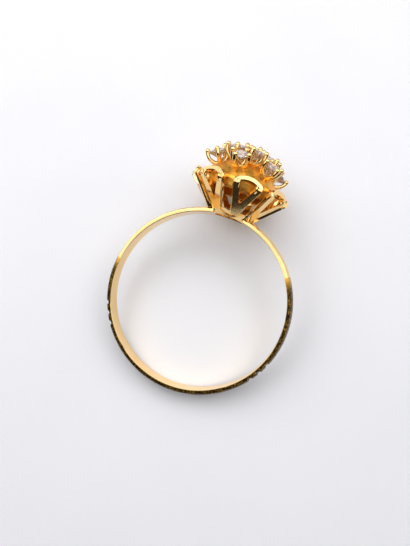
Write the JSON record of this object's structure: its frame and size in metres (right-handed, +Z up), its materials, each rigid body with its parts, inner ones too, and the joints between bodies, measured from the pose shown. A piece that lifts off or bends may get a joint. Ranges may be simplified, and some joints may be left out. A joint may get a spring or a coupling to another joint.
{
  "type": "gold cluster ring",
  "caption": "Gold finger ring lying on its side, with a slim engraved hoop, an open basket of petals, and a domed cluster of small round stones in prong cups.",
  "frame": {"origin": "centre of the bounding box's bottom, on the surface that the ring lies on", "axes": "+Y from the hoop towards the head, +Z up and away from the surface; the finger axis leans back from +Z, away from the head"},
  "size_m": [0.0184, 0.0248, 0.0099],
  "materials": {
    "gold": "polished 18 carat yellow gold",
    "stone": "cut and polished clear stone"
  },
  "bodies": {
    "root": {"ring_mount": "gold", "centre_stone": "stone", "inner_stone_1": "stone", "inner_stone_2": "stone", "inner_stone_3": "stone", "inner_stone_4": "stone", "inner_stone_5": "stone", "inner_stone_6": "stone", "outer_stone_1": "stone", "outer_stone_2": "stone", "outer_stone_3": "stone", "outer_stone_4": "stone", "outer_stone_5": "stone", "outer_stone_6": "stone"}
  },
  "joints": []
}
